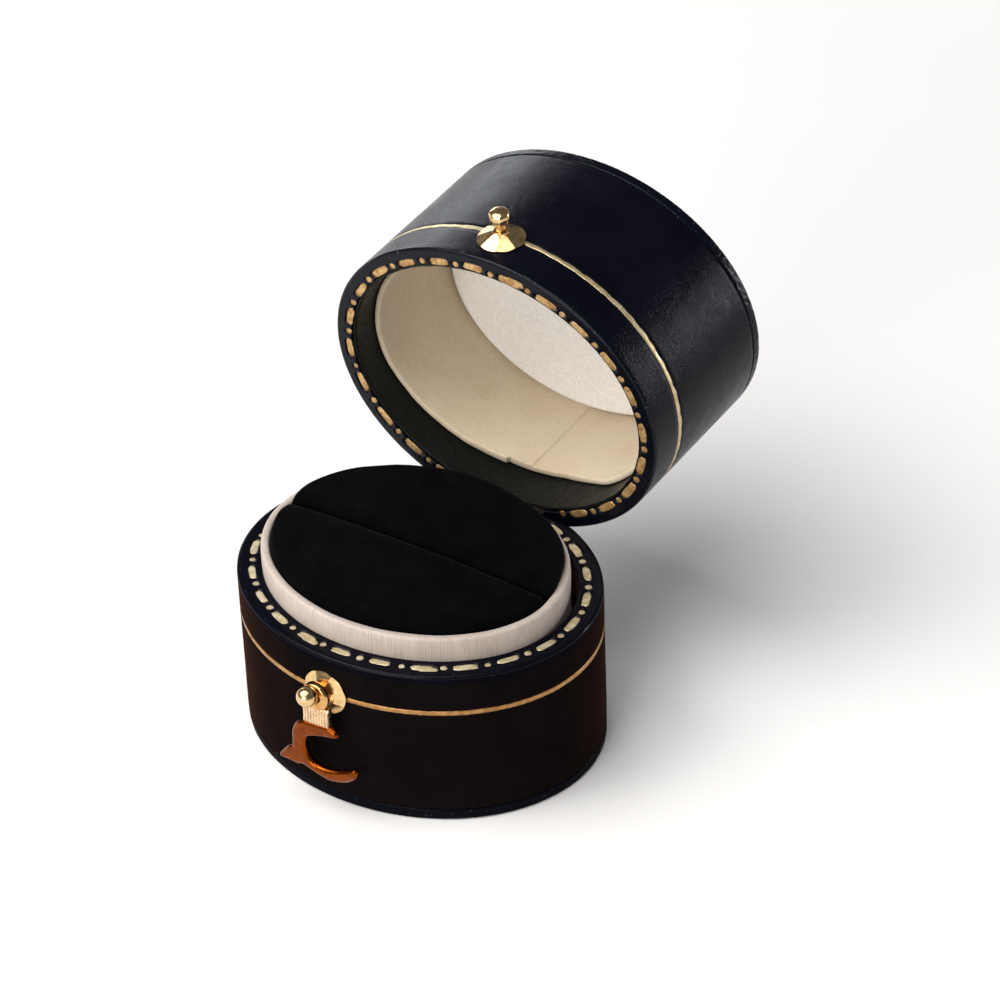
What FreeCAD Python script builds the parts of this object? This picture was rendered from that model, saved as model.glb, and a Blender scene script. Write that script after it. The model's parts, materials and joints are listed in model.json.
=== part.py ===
"""Small oval ring box: leather-covered base and hinged lid, satin collar, split velvet pad, brass hook catch.

Millimetres. The origin is the centre of the base's underside, +Z is up, -Y is the front where the catch is and
+Y the rear where the hinge is. The box is written with its lid resting open on the hinge stop and the hook hanging.
"""
import FreeCAD, Part
import math
import os

from FreeCAD import Vector

# Outer shape: every layer of the box is an oval that is this one, set in by some distance.
OUTER_A = 18.0              # half the width, along X
OUTER_B = 15.1              # half the depth, along Y
BASE_HEIGHT = 16.7
LID_HEIGHT = 18.5
RIM_GAP = 0.15              # between the two rims when the lid is closed

# Leather-covered walls
LEATHER = 0.45              # outer covering of the walls
RIM_LEATHER = 0.40          # the same leather folded over a rim
BASE_CARD_IN = 2.0          # inset of the base wall's inner face behind the turned-in leather
BASE_WALL_IN = 2.40         # inset of the base wall's inner face
TURN_IN = 5.0               # how far the base leather is turned in below its rim
LID_CARD_IN = 1.75          # inset of the lid wall's inner face
LID_BAND_IN = 2.13          # inset of the black band that lines the lid's rim
BAND_DEPTH = 5.2            # lower edge of that band, measured from the lid's rim
BAND_SET_BACK = 0.25        # the band starts this far inside the rim
EDGE_ROUND = 0.30           # rounded leather edges

# Top and bottom covers: a thin board in its own leather
COVER = 1.2                 # height of the covered board
COVER_LEATHER = 0.35        # leather under the board
COVER_WRAP = 0.40           # leather around the board's edge
GROOVE = 0.06               # gap left between a cover and the wall leather
GROOVE_ROUND = 0.18

# Collar inside the base, which the lid closes over
COLLAR_OUT = 2.43           # inset of the satin's outer face
SATIN = 0.15
COLLAR_CARD = 0.50
COLLAR_ROUND = 0.225        # rounded top edges of the satin
COLLAR_RISE = 2.5           # above the base rim
SATIN_OUTSIDE = 3.0         # how far the satin goes down behind the wall
SATIN_INSIDE = 4.0          # and down inside the collar
PAD_BOARD = 0.8

# Two half pads that pinch a ring between them
PAD_GAP = 0.05              # between pad and collar
PAD_SLIT = 0.30
PAD_EDGE_RISE = 0.35        # pad's edge above the top of the collar
PAD_DOME = 0.75             # how much higher the pad is in the middle than at its edge
PAD_ROUND = 0.60
PAD_TOP_BAND = 0.1          # edges this close below the pad's edge height belong to its top face

# Lid lining
LINER_OUT = 2.18
LINER_CARD = 0.40
LINER_SATIN = 0.22
LINER_START = 3.6           # free edge of the liner, measured from the lid's rim
CEILING_DEPTH = 14.6
CEILING_PAD = 1.8
CEILING_BULGE = 0.35

# Rear hinge
HINGE_Y = 13.35
HINGE_BELOW_RIM = 0.5
OPEN_ANGLE = 85.6           # lid angle at the stop
STOP_GAP = 0.06             # half the gap left between the two bevels when the lid is open
BARREL_R = 0.65
BARREL_LENGTH = 9.0
KNUCKLE_LENGTH = 3.0        # the lid's middle knuckle
KNUCKLE_GAP = 0.1
PIN_R = 0.30
PIN_CLEARANCE = 0.04
BARREL_RELIEF = 0.12
NOTCH_REACH = 1.1           # half the height of the notch that the rim leathers leave for the barrel
LEAF = 0.30                 # leaf thickness
LEAF_OFFSET = 0.15          # leaf centre behind the barrel's centre
LEAF_START = 0.95
LEAF_END = 5.0
LEAF_REACH = 0.52           # how far a leaf's tab goes up to the barrel, from the barrel's centre

# Brass studs at the front of base and lid
STUD_FROM_RIM = 3.55
ROSETTE_R = 2.30
ROSETTE_TOP_R = 0.85
ROSETTE_FOOT = 0.15
ROSETTE_HEIGHT = 0.85
ROSETTE_FACETS = 8
SHANK_R = 0.50
NECK_END = 2.05             # where the head starts, measured from the wall's face
BALL_R = 0.98
BALL_SET_BACK = 0.8         # share of the ball's radius in front of its flat back
BALL_RAISED = 0.80          # the ball head is bent up this far above its neck
BALL_HOLD = 0.35            # how far the neck reaches into the ball
ROSETTE_LOWERED = 0.45      # the base rosette sits this far below the pin
KNOB_R = 0.95
KNOB_LENGTH = 1.15
KNOB_ROUND = 0.25
WASHER_R = 1.4              # seat of the washer
WASHER_PLAY = 0.05
WASHER = 0.25
WASHER_SEAT = 0.38          # depth of the seat behind the wall card

# Hook that hangs on the base stud
HOOK_BACK = 1.05            # back face, measured from the wall's face
HOOK_THICKNESS = 0.85
EYE_R = 1.45
EYE_CLEARANCE = 0.06

RIM_Z = BASE_HEIGHT
LID_RIM_Z = BASE_HEIGHT + RIM_GAP
HINGE_Z = BASE_HEIGHT - HINGE_BELOW_RIM
HINGE_POINT = Vector(0, HINGE_Y, HINGE_Z)
BASE_STUD_Z = RIM_Z - STUD_FROM_RIM
LID_STUD_Z = LID_RIM_Z + STUD_FROM_RIM
FAR = 60.0

X_AXIS = Vector(1, 0, 0)
Y_AXIS = Vector(0, 1, 0)


# ---- shapes used more than once ----

def oval(inset, low, high):
    """A solid oval plate or column between two heights."""
    edge = Part.Ellipse(Vector(0, 0, low), OUTER_A - inset, OUTER_B - inset).toShape()
    return Part.Face(Part.Wire([edge])).extrude(Vector(0, 0, high - low))


def oval_ring(outer_inset, inner_inset, low, high):
    """An oval tube between two insets and two heights."""
    return oval(outer_inset, low, high).cut(oval(inner_inset, low, high))


def box(x_low, x_high, y_low, y_high, z_low, z_high):
    """A block between two corners."""
    return Part.makeBox(x_high - x_low, y_high - y_low, z_high - z_low, Vector(x_low, y_low, z_low))


def oval_edges(shape, inset, height):
    """The oval edges of a shape at one inset and height, for rounding."""
    found = []
    for edge in shape.Edges:
        bounds = edge.BoundBox
        flat = abs(bounds.ZMin - height) < 1e-4 and abs(bounds.ZMax - height) < 1e-4
        if flat and abs(bounds.XMax - (OUTER_A - inset)) < 1e-3:
            found.append(edge)
    return found


def rounded(shape, radius, *places):
    """Round the oval edges at the given (inset, height) places."""
    edges = []
    for inset, height in places:
        edges += oval_edges(shape, inset, height)
    return shape.makeFillet(radius, edges)


def front_rod(radius, start, end, height):
    """A rod along -Y at the front centre; start and end are measured outwards from the wall's face."""
    return Part.makeCylinder(radius, end - start, Vector(0, -OUTER_B - start, height), -Y_AXIS)


def octagon(radius, out, height):
    """A regular polygon facing the front, centred on a stud, at a distance outwards from the wall's face."""
    points = []
    for number in range(ROSETTE_FACETS + 1):
        turn = 2 * math.pi * (number + 0.5) / ROSETTE_FACETS
        points.append(Vector(radius * math.cos(turn), -OUTER_B - out, height + radius * math.sin(turn)))
    return Part.makePolygon(points)


def write(name, shape):
    """Write one node as a single solid."""
    solid = shape.removeSplitter()
    if len(solid.Solids) == 1:
        solid = solid.Solids[0]
    if not solid.isValid():
        raise ValueError(name + " is not a valid solid")
    solid.exportStep("parts/" + name + ".step")
    print(name, round(solid.Volume, 2), len(solid.Solids))


# ---- rear relief shared by the base and the lid ----
# wall_side is -1 for the base, whose wall lies below the hinge line, and +1 for the lid, whose wall lies above it.

def bevel_wedge(wall_side):
    """The wedge removed behind the hinge line, so that the open lid stops on the bevels."""
    slope = math.radians(OPEN_ANGLE / 2)
    outward = Vector(0, math.cos(slope), wall_side * math.sin(slope))
    into_wall = Vector(0, -math.sin(slope), wall_side * math.cos(slope))
    start = HINGE_POINT + into_wall * STOP_GAP
    corner = start + outward * FAR
    far_z = start.z - wall_side * FAR
    points = [start, corner, Vector(0, corner.y, far_z), Vector(0, start.y, far_z), start]
    face = Part.Face(Part.makePolygon([point - X_AXIS * FAR for point in points]))
    return face.extrude(X_AXIS * 2 * FAR)


def barrel_relief():
    """The round channel that the hinge barrel sits in."""
    half = BARREL_LENGTH / 2 + BARREL_RELIEF
    return Part.makeCylinder(BARREL_R + BARREL_RELIEF, 2 * half, HINGE_POINT - X_AXIS * half, X_AXIS)


def leaf_plate(wall_side, x_low, x_high, start):
    """A flat piece of a hinge leaf, from a distance off the hinge line to the leaf's end."""
    y_centre = HINGE_Y + LEAF_OFFSET
    z_near = HINGE_Z + wall_side * start
    z_far = HINGE_Z + wall_side * LEAF_END
    return box(x_low, x_high, y_centre - LEAF / 2, y_centre + LEAF / 2, min(z_near, z_far), max(z_near, z_far))


def card_at_hinge(shape, wall_side):
    """Cut the bevel, the barrel's channel and the leaf's slot out of a wall card."""
    slot = leaf_plate(wall_side, -BARREL_LENGTH / 2, BARREL_LENGTH / 2, 0)
    for tool in (bevel_wedge(wall_side), barrel_relief(), slot):
        shape = shape.cut(tool)
    return shape


def leather_at_hinge(shape, wall_side):
    """Cut the bevel and a square notch for the barrel out of the wall leather."""
    half = BARREL_LENGTH / 2 + BARREL_RELIEF
    reach = BARREL_R + BARREL_RELIEF
    notch = box(-half, half, HINGE_Y - reach, HINGE_Y + reach, HINGE_Z - NOTCH_REACH, HINGE_Z + NOTCH_REACH)
    return shape.cut(bevel_wedge(wall_side)).cut(notch)


# ---- base ----

def base_wall():
    """The card tube of the base, thicker below the turned-in leather."""
    top = RIM_Z - RIM_LEATHER
    wall = oval_ring(LEATHER, BASE_CARD_IN, COVER, top)
    wall = wall.fuse(oval_ring(BASE_CARD_IN, BASE_WALL_IN, COVER, RIM_Z - TURN_IN))
    wall = card_at_hinge(wall, -1)
    seat = front_rod(WASHER_R, -BASE_CARD_IN, WASHER_SEAT - BASE_CARD_IN, BASE_STUD_Z)
    return wall.cut(front_rod(SHANK_R, -OUTER_B / 2, 1, BASE_STUD_Z).fuse(seat))


def base_wall_leather():
    """Leather around the base, folded over its rim and turned in."""
    low = COVER + GROOVE
    skin = oval(0, low, RIM_Z).cut(oval(LEATHER, low, RIM_Z - RIM_LEATHER)).cut(oval(BASE_CARD_IN, low, RIM_Z))
    skin = skin.fuse(oval_ring(BASE_CARD_IN, BASE_WALL_IN, RIM_Z - TURN_IN, RIM_Z))
    skin = rounded(skin.removeSplitter(), EDGE_ROUND, (0, RIM_Z))
    skin = rounded(skin, GROOVE_ROUND, (0, low))
    skin = leather_at_hinge(skin, -1)
    return skin.cut(front_rod(SHANK_R, -BASE_CARD_IN, 1, BASE_STUD_Z))


def cover_board(low, inner_side):
    """Board of a top or bottom cover; inner_side is +1 when the box lies above it."""
    shift = COVER_LEATHER if inner_side > 0 else 0
    return oval(COVER_WRAP, low + shift, low + COVER - COVER_LEATHER + shift)


def cover_leather(low, inner_side):
    """Leather cup around a cover board, with rounded edges."""
    skin = oval(0, low, low + COVER).cut(cover_board(low, inner_side))
    outer = low if inner_side > 0 else low + COVER
    inner = low + COVER if inner_side > 0 else low
    skin = rounded(skin, EDGE_ROUND, (0, outer))
    return rounded(skin, GROOVE_ROUND, (0, inner))


def collar_card():
    """Thin card ring standing inside the base wall and above its rim."""
    inset = COLLAR_OUT + SATIN
    return oval_ring(inset, inset + COLLAR_CARD, COVER, RIM_Z + COLLAR_RISE - SATIN)


def collar_satin():
    """Satin folded over the collar card."""
    top = RIM_Z + COLLAR_RISE
    outer = COLLAR_OUT
    card_outer = outer + SATIN
    card_inner = card_outer + COLLAR_CARD
    inner = card_inner + SATIN
    skin = oval_ring(outer, card_outer, RIM_Z - SATIN_OUTSIDE, top)
    skin = skin.fuse(oval_ring(card_outer, card_inner, top - SATIN, top))
    skin = skin.fuse(oval_ring(card_inner, inner, top - SATIN_INSIDE, top)).removeSplitter()
    return rounded(skin, COLLAR_ROUND, (outer, top), (inner, top))


def pad_inset():
    """Inset of the pads' outer face."""
    return COLLAR_OUT + 2 * SATIN + COLLAR_CARD + PAD_GAP


def pad_board():
    """Board that the pads are glued to."""
    return oval(pad_inset(), COVER, COVER + PAD_BOARD)


def ring_pad(side):
    """One half of the domed pad; side is -1 for the front half and +1 for the rear half."""
    inset = pad_inset()
    edge_top = RIM_Z + COLLAR_RISE + PAD_EDGE_RISE
    pad = oval(inset, COVER + PAD_BOARD, edge_top + 2 * PAD_DOME)
    half_width = OUTER_A - inset
    dome_radius = (half_width ** 2 + PAD_DOME ** 2) / (2 * PAD_DOME)
    pad = pad.common(Part.makeSphere(dome_radius, Vector(0, 0, edge_top + PAD_DOME - dome_radius)))
    near = side * PAD_SLIT / 2
    pad = pad.common(box(-FAR, FAR, min(near, side * FAR), max(near, side * FAR), 0, FAR))
    top_edges = [edge for edge in pad.Edges if edge.BoundBox.ZMin > edge_top - PAD_TOP_BAND]
    return pad.makeFillet(PAD_ROUND, top_edges)


# ---- studs ----

def rosette(height, stud_height):
    """Faceted brass rosette lying flat on the wall, with a hole for the stud."""
    foot = Part.Face(octagon(ROSETTE_R, 0, height)).extrude(Vector(0, -ROSETTE_FOOT, 0))
    cone = Part.makeLoft([octagon(ROSETTE_R, ROSETTE_FOOT, height), octagon(ROSETTE_TOP_R, ROSETTE_HEIGHT, height)],
                         True, True)
    return foot.fuse(cone).cut(front_rod(SHANK_R, -1, 2, stud_height))


def ball_pin():
    """The base stud: a ball-headed pin through rosette, wall and washer."""
    shank = front_rod(SHANK_R, -BASE_CARD_IN, NECK_END + BALL_HOLD, BASE_STUD_Z)
    height = BASE_STUD_Z + BALL_RAISED
    ball = Part.makeSphere(BALL_R, Vector(0, -OUTER_B - NECK_END - BALL_R * BALL_SET_BACK, height))
    ball = ball.common(front_rod(BALL_R, NECK_END, NECK_END + 2 * BALL_R, height))
    return shank.fuse(ball)


def knob_stud():
    """The lid stud: a round knob on a neck that the hook closes around."""
    shank = front_rod(SHANK_R, -LID_CARD_IN, NECK_END + KNOB_LENGTH / 2, LID_STUD_Z)
    knob = front_rod(KNOB_R, NECK_END, NECK_END + KNOB_LENGTH, LID_STUD_Z)
    rims = [edge for edge in knob.Edges if edge.BoundBox.YLength < 1e-6]
    return shank.fuse(knob.makeFillet(KNOB_ROUND, rims))


def stud_washer(card_inset, height):
    """Washer in its seat behind the wall card, on the end of a stud."""
    start = WASHER_SEAT - card_inset - WASHER
    return front_rod(WASHER_R - WASHER_PLAY, start, start + WASHER, height).cut(front_rod(SHANK_R, -OUTER_B, 1, height))


# ---- hinge ----

def knuckle(x_low, x_high, bore):
    """One knuckle of the hinge barrel."""
    start = HINGE_POINT + X_AXIS * x_low
    length = x_high - x_low
    return Part.makeCylinder(BARREL_R, length, start, X_AXIS).cut(Part.makeCylinder(bore, length, start, X_AXIS))


def hinge_leaf_base():
    """Base leaf with the two outer knuckles."""
    half = BARREL_LENGTH / 2
    inner = KNUCKLE_LENGTH / 2 + KNUCKLE_GAP
    leaf = leaf_plate(-1, -half, half, LEAF_START)
    for x_low, x_high in ((-half, -inner), (inner, half)):
        tab = leaf_plate(-1, x_low, x_high, LEAF_REACH)
        leaf = leaf.fuse([tab, knuckle(x_low, x_high, PIN_R)])
    return leaf


def hinge_leaf_lid():
    """Lid leaf with the middle knuckle, in the closed position."""
    half = BARREL_LENGTH / 2
    inner = KNUCKLE_LENGTH / 2
    leaf = leaf_plate(1, -half, half, LEAF_START)
    tab = leaf_plate(1, -inner, inner, LEAF_REACH)
    return leaf.fuse([tab, knuckle(-inner, inner, PIN_R + PIN_CLEARANCE)])


def hinge_pin():
    """Pin through all three knuckles, held by the base's two."""
    return Part.makeCylinder(PIN_R, BARREL_LENGTH, HINGE_POINT - X_AXIS * BARREL_LENGTH / 2, X_AXIS)


# ---- lid, modelled closed and then turned open ----

def opened(shape):
    """Turn a lid piece from closed to its open stop."""
    return shape.rotated(HINGE_POINT, X_AXIS, -OPEN_ANGLE)


def lid_z(depth):
    """Height, with the lid closed, of a depth measured into the lid from its rim."""
    return LID_RIM_Z + depth


def lid_wall():
    """The card tube of the lid."""
    wall = oval_ring(LEATHER, LID_CARD_IN, lid_z(RIM_LEATHER), lid_z(LID_HEIGHT - COVER))
    wall = card_at_hinge(wall, 1)
    seat = front_rod(WASHER_R, -LID_CARD_IN, WASHER_SEAT - LID_CARD_IN, LID_STUD_Z)
    return wall.cut(front_rod(SHANK_R, -OUTER_B / 2, 1, LID_STUD_Z).fuse(seat))


def lid_wall_leather():
    """Leather around the lid, folded over its rim."""
    high = lid_z(LID_HEIGHT - COVER - GROOVE)
    skin = oval(0, lid_z(0), high).cut(oval(LEATHER, lid_z(RIM_LEATHER), high)).cut(oval(LID_CARD_IN, lid_z(0), high))
    skin = rounded(skin, EDGE_ROUND, (0, lid_z(0)))
    skin = rounded(skin, GROOVE_ROUND, (0, high))
    skin = leather_at_hinge(skin, 1)
    return skin.cut(front_rod(SHANK_R, -LID_CARD_IN, 1, LID_STUD_Z))


def lid_inner_band():
    """Black band lining the inside of the lid's rim, which slides over the collar."""
    band = oval_ring(LID_CARD_IN, LID_BAND_IN, lid_z(BAND_SET_BACK), lid_z(BAND_DEPTH))
    return band.cut(barrel_relief())


def lid_liner_card():
    """Card ring behind the satin lining of the lid."""
    start = LINER_START + LINER_SATIN
    end = CEILING_DEPTH + CEILING_PAD
    return oval_ring(LINER_OUT, LINER_OUT + LINER_CARD, lid_z(start), lid_z(end))


def lid_liner_satin():
    """Satin over the liner card and its free edge."""
    card_inner = LINER_OUT + LINER_CARD
    inner = card_inner + LINER_SATIN
    end = CEILING_DEPTH + CEILING_PAD
    skin = oval_ring(card_inner, inner, lid_z(LINER_START), lid_z(end))
    lip = oval_ring(LINER_OUT, card_inner, lid_z(LINER_START), lid_z(LINER_START + LINER_SATIN))
    return skin.fuse(lip)


def lid_ceiling_card():
    """Card that carries the ceiling pad."""
    return oval(LINER_OUT, lid_z(CEILING_DEPTH + CEILING_PAD), lid_z(LID_HEIGHT - COVER))


def lid_ceiling_pad():
    """Soft pad inside the top of the lid, slightly domed towards the opening."""
    inset = LINER_OUT + LINER_CARD + LINER_SATIN + PAD_GAP
    half_width = OUTER_A - inset
    radius = (half_width ** 2 + CEILING_BULGE ** 2) / (2 * CEILING_BULGE)
    pad = oval(inset, lid_z(CEILING_DEPTH - CEILING_BULGE), lid_z(CEILING_DEPTH + CEILING_PAD))
    return pad.common(Part.makeSphere(radius, Vector(0, 0, lid_z(CEILING_DEPTH - CEILING_BULGE) + radius)))


# ---- hook ----

def curve(*points):
    """A smooth edge through points given as (x, z) from the centre of the hook's eye."""
    spline = Part.BSplineCurve()
    spline.interpolate([Vector(x, 0, z) for x, z in points])
    return spline.toShape()


def line(start, end):
    """A straight edge between two (x, z) points."""
    return Part.makeLine(Vector(start[0], 0, start[1]), Vector(end[0], 0, end[1]))


def hook_outline():
    """Outline of the C-shaped claw with its thumb spur, as it hangs below the eye."""
    edges = [
        curve((-1.55, -3.2), (-2.45, -3.75), (-3.0, -4.9), (-3.1, -6.9)),
        curve((-3.1, -6.9), (-3.75, -7.35), (-4.65, -8.35)),
        curve((-4.65, -8.35), (-4.75, -8.7), (-4.45, -8.85)),
        curve((-4.45, -8.85), (-3.6, -8.85), (-2.7, -8.95)),
        curve((-2.7, -8.95), (-0.9, -9.5), (1.25, -9.45), (3.2, -8.75)),
        curve((3.2, -8.75), (4.05, -8.0), (4.35, -7.25), (3.95, -6.85)),
        curve((3.95, -6.85), (3.1, -7.35), (1.6, -7.9), (0.1, -7.98), (-0.95, -7.55), (-1.5, -6.4), (-1.35, -5.3),
              (-0.85, -4.85)),
        curve((-0.85, -4.85), (0.6, -4.35), (2.1, -4.0)),
        curve((2.1, -4.0), (2.55, -3.75), (2.3, -3.2)),
        curve((2.3, -3.2), (1.8, -3.05), (1.3, -2.9)),
        line((1.3, -2.9), (-1.55, -3.2)),
    ]
    return Part.Wire(edges)


def catch_hook():
    """Eye, ribbed neck and claw in one flat brass piece."""
    claw = Part.Face(hook_outline())
    corners = ((-1.55, -3.2), (-1.5, -0.9), (1.55, -0.75), (1.3, -2.9), (-1.55, -3.2))
    neck = Part.Face(Part.makePolygon([Vector(x, 0, z) for x, z in corners]))
    profile = claw.fuse(neck).removeSplitter()
    plate = profile.extrude(Vector(0, -HOOK_THICKNESS, 0))
    plate = plate.fuse(Part.makeCylinder(EYE_R, HOOK_THICKNESS, Vector(0, 0, 0), -Y_AXIS))
    plate = plate.cut(Part.makeCylinder(SHANK_R + EYE_CLEARANCE, HOOK_THICKNESS, Vector(0, 0, 0), -Y_AXIS))
    return plate.removeSplitter().translated(Vector(0, -OUTER_B - HOOK_BACK, BASE_STUD_Z))


os.makedirs("parts", exist_ok=True)

write("base_wall", base_wall())
write("base_wall_leather", base_wall_leather())
write("base_bottom_board", cover_board(0, 1))
write("base_bottom_leather", cover_leather(0, 1))
write("collar_card", collar_card())
write("collar_satin", collar_satin())
write("pad_board", pad_board())
write("ring_pad_front", ring_pad(-1))
write("ring_pad_rear", ring_pad(1))
write("base_rosette", rosette(BASE_STUD_Z - ROSETTE_LOWERED, BASE_STUD_Z))
write("base_ball_pin", ball_pin())
write("base_pin_washer", stud_washer(BASE_CARD_IN, BASE_STUD_Z))
write("hinge_leaf_base", hinge_leaf_base())
write("hinge_pin", hinge_pin())

cover_z = lid_z(LID_HEIGHT - COVER)
write("lid_wall", opened(lid_wall()))
write("lid_wall_leather", opened(lid_wall_leather()))
write("lid_top_board", opened(cover_board(cover_z, -1)))
write("lid_top_leather", opened(cover_leather(cover_z, -1)))
write("lid_inner_band", opened(lid_inner_band()))
write("lid_liner_card", opened(lid_liner_card()))
write("lid_liner_satin", opened(lid_liner_satin()))
write("lid_ceiling_card", opened(lid_ceiling_card()))
write("lid_ceiling_pad", opened(lid_ceiling_pad()))
write("lid_rosette", opened(rosette(LID_STUD_Z, LID_STUD_Z)))
write("lid_knob_stud", opened(knob_stud()))
write("lid_stud_washer", opened(stud_washer(LID_CARD_IN, LID_STUD_Z)))
write("hinge_leaf_lid", opened(hinge_leaf_lid()))

write("catch_hook", catch_hook())
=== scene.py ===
"""Looks of the oval ring box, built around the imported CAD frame.

Places are in metres; profiles and sizes of the finish are in millimetres, and MM is one of them in metres."""
import json
import math

import bmesh
import bpy
import numpy as np
from mathutils import Matrix, Vector, noise


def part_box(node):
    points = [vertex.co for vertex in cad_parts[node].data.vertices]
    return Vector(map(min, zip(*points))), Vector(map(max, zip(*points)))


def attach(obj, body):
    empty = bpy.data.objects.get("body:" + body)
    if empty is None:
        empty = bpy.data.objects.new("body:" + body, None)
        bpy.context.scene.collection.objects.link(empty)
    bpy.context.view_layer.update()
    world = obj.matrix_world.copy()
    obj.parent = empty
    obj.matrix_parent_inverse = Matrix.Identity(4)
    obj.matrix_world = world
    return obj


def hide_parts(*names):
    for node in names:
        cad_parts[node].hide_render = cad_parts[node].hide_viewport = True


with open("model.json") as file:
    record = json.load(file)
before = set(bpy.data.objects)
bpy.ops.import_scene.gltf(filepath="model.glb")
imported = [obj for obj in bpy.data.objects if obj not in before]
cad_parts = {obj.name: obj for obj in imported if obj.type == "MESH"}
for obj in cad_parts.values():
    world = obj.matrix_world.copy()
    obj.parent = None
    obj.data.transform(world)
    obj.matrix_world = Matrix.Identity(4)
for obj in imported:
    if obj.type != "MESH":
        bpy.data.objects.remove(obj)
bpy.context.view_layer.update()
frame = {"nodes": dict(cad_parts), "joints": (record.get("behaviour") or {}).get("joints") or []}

MM = 0.001
nodes = frame["nodes"]
joints = {joint["name"]: joint for joint in frame["joints"]}

# ---- places and sizes read from the frame ----

HINGE = Vector(joints["lid_hinge"]["pos_m"])
OPEN_ANGLE = math.radians(joints["lid_hinge"]["range_deg"][1])
HOOK_PIN = Vector(joints["hook_swivel"]["pos_m"])


def turned_about_hinge(angle):
    """The turn of the lid about its hinge."""
    return Matrix.Translation(HINGE) @ Matrix.Rotation(angle, 4, "X") @ Matrix.Translation(-HINGE)


CLOSE = turned_about_hinge(OPEN_ANGLE)
OPEN = turned_about_hinge(-OPEN_ANGLE)


def closed_box(node):
    """Lowest and highest corner of a lid node with the lid closed, where its ovals lie flat."""
    corners = np.array([CLOSE @ vertex.co for vertex in nodes[node].data.vertices])
    return Vector(corners.min(0)), Vector(corners.max(0))


wall_low, wall_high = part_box("base_wall_leather")
HALF_WIDTH = wall_high.x
HALF_DEPTH = -wall_low.y
FRONT = -HALF_DEPTH
BASE_RIM = wall_high.z
COVER_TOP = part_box("base_bottom_leather")[1].z
collar_low, collar_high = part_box("collar_satin")
COLLAR_INSET = HALF_WIDTH - collar_high.x
PAD_INSET = HALF_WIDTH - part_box("ring_pad_front")[1].x
LID_RIM = closed_box("lid_wall_leather")[0].z
LID_COVER, LID_TOP = (corner.z for corner in closed_box("lid_top_leather"))
band_low, band_high = closed_box("lid_inner_band")
LINER_INSET = HALF_WIDTH - closed_box("lid_liner_card")[1].x
LINER_END = closed_box("lid_liner_satin")[1].z
ceiling_low, ceiling_high = closed_box("lid_ceiling_pad")
CEILING_INSET = HALF_WIDTH - ceiling_high.x
knob_low, knob_high = closed_box("lid_knob_stud")
LID_STUD = (knob_low.z + knob_high.z) / 2

# ---- sizes of the finish, in millimetres ----

SEGMENTS = 840                  # points around an oval
LEATHER_BACK = 0.42             # hidden inner face of the wall leather
BASE_RIM_WIDTH = 2.40
LID_RIM_WIDTH = 1.75
RIM_LEATHER = 0.38              # thickness over the rim
BASE_TURN_IN = 4.6              # how far the leather goes down inside
LID_TURN_IN = 0.40
EDGE_ROUND = 0.34               # radii of the rim's two edges and of the groove's
INNER_ROUND = 0.14
GROOVE_ROUND = 0.20
GROOVE_OPEN = 0.06              # between a wall and its cover
LINE_FROM_RIM = 4.2             # the gold line
LINE_HALF = 0.25
LINE_SUNK = 0.05
TOOL_INSET = 1.45               # the oval of dashes and dots
TOOL_COUNT = 24
TOOL_SUNK = 0.15
TOOL_SOFT = 0.10
GILT_SHARE = 0.93               # the gold doesn't quite reach the edge of its recess
GILT_RAISED = 0.02              # above the floor of the recess
GILT_SWELL = 0.012
GILT_UNDER = -0.03
DASH_HALF_LENGTH = 1.16
DASH_HALF_WIDTH = 0.40
DOT_RADIUS = 0.34
BASE_TOOL_PHASE = 0.22
LID_TOOL_PHASE = -0.25
REAR_CLEAR = 6.3                # no tooling this near the hinge
KNUCKLE_RADIUS = 0.65


# ---- mesh helpers ----

def smooth_step(low, high, value):
    """0 below low, 1 above high, and smooth between."""
    share = np.clip((value - low) / (high - low), 0.0, 1.0)
    return share * share * (3 - 2 * share)


def field(points, size_mm, seed=0.0, octaves=2):
    """Smooth noise from about -1 to 1 at points given in metres; size_mm is the size of its lumps."""
    scale = 1 / (size_mm * MM)
    shift = Vector((seed * 17.3, seed * 5.1, seed * 9.7))
    values = [noise.fractal(Vector(p) * scale + shift, 0.6, 2.0, octaves, noise_basis="PERLIN_NEW") for p in points]
    return np.array(values)


def grid_field(x, y, z, *lumps):
    """Smooth noise over a swept grid, an array for each (size_mm, seed, octaves)."""
    places = np.stack(np.broadcast_arrays(x, y, z), axis=-1).reshape(-1, 3)
    return [field(places, *lump).reshape(SEGMENTS, -1) for lump in lumps]


def add_object(name, data):
    """A new object in the scene."""
    made = bpy.data.objects.new(name, data)
    bpy.context.scene.collection.objects.link(made)
    return made


def new_mesh(name, vertices, faces, uvs=None, attributes=None, turn=None):
    """A smooth shaded object from vertices, turned if asked, and faces, with UVs in millimetres."""
    if turn is not None:
        vertices = [turn @ Vector(v) for v in vertices]
    mesh = bpy.data.meshes.new(name)
    mesh.from_pydata([tuple(v) for v in vertices], [], faces)
    if uvs is not None:
        layer = mesh.uv_layers.new(name="UVMap")
        flat = np.array([uvs[i] for face in faces for i in face], np.float32)
        layer.data.foreach_set("uv", flat.ravel())
    for key, values in (attributes or {}).items():
        attribute = mesh.attributes.new(key, "FLOAT", "POINT")
        attribute.data.foreach_set("value", np.asarray(values, np.float32))
    mesh.validate()
    mesh.polygons.foreach_set("use_smooth", [True] * len(mesh.polygons))
    return add_object(name, mesh)


def grid_faces(rows, columns, close_rows=True, close_columns=True):
    """Quads of a grid whose vertex number is row * columns + column."""
    faces = []
    for row in range(rows if close_rows else rows - 1):
        below = (row + 1) % rows
        for column in range(columns if close_columns else columns - 1):
            after = (column + 1) % columns
            faces.append((row * columns + column, row * columns + after, below * columns + after,
                          below * columns + column))
    return faces


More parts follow.
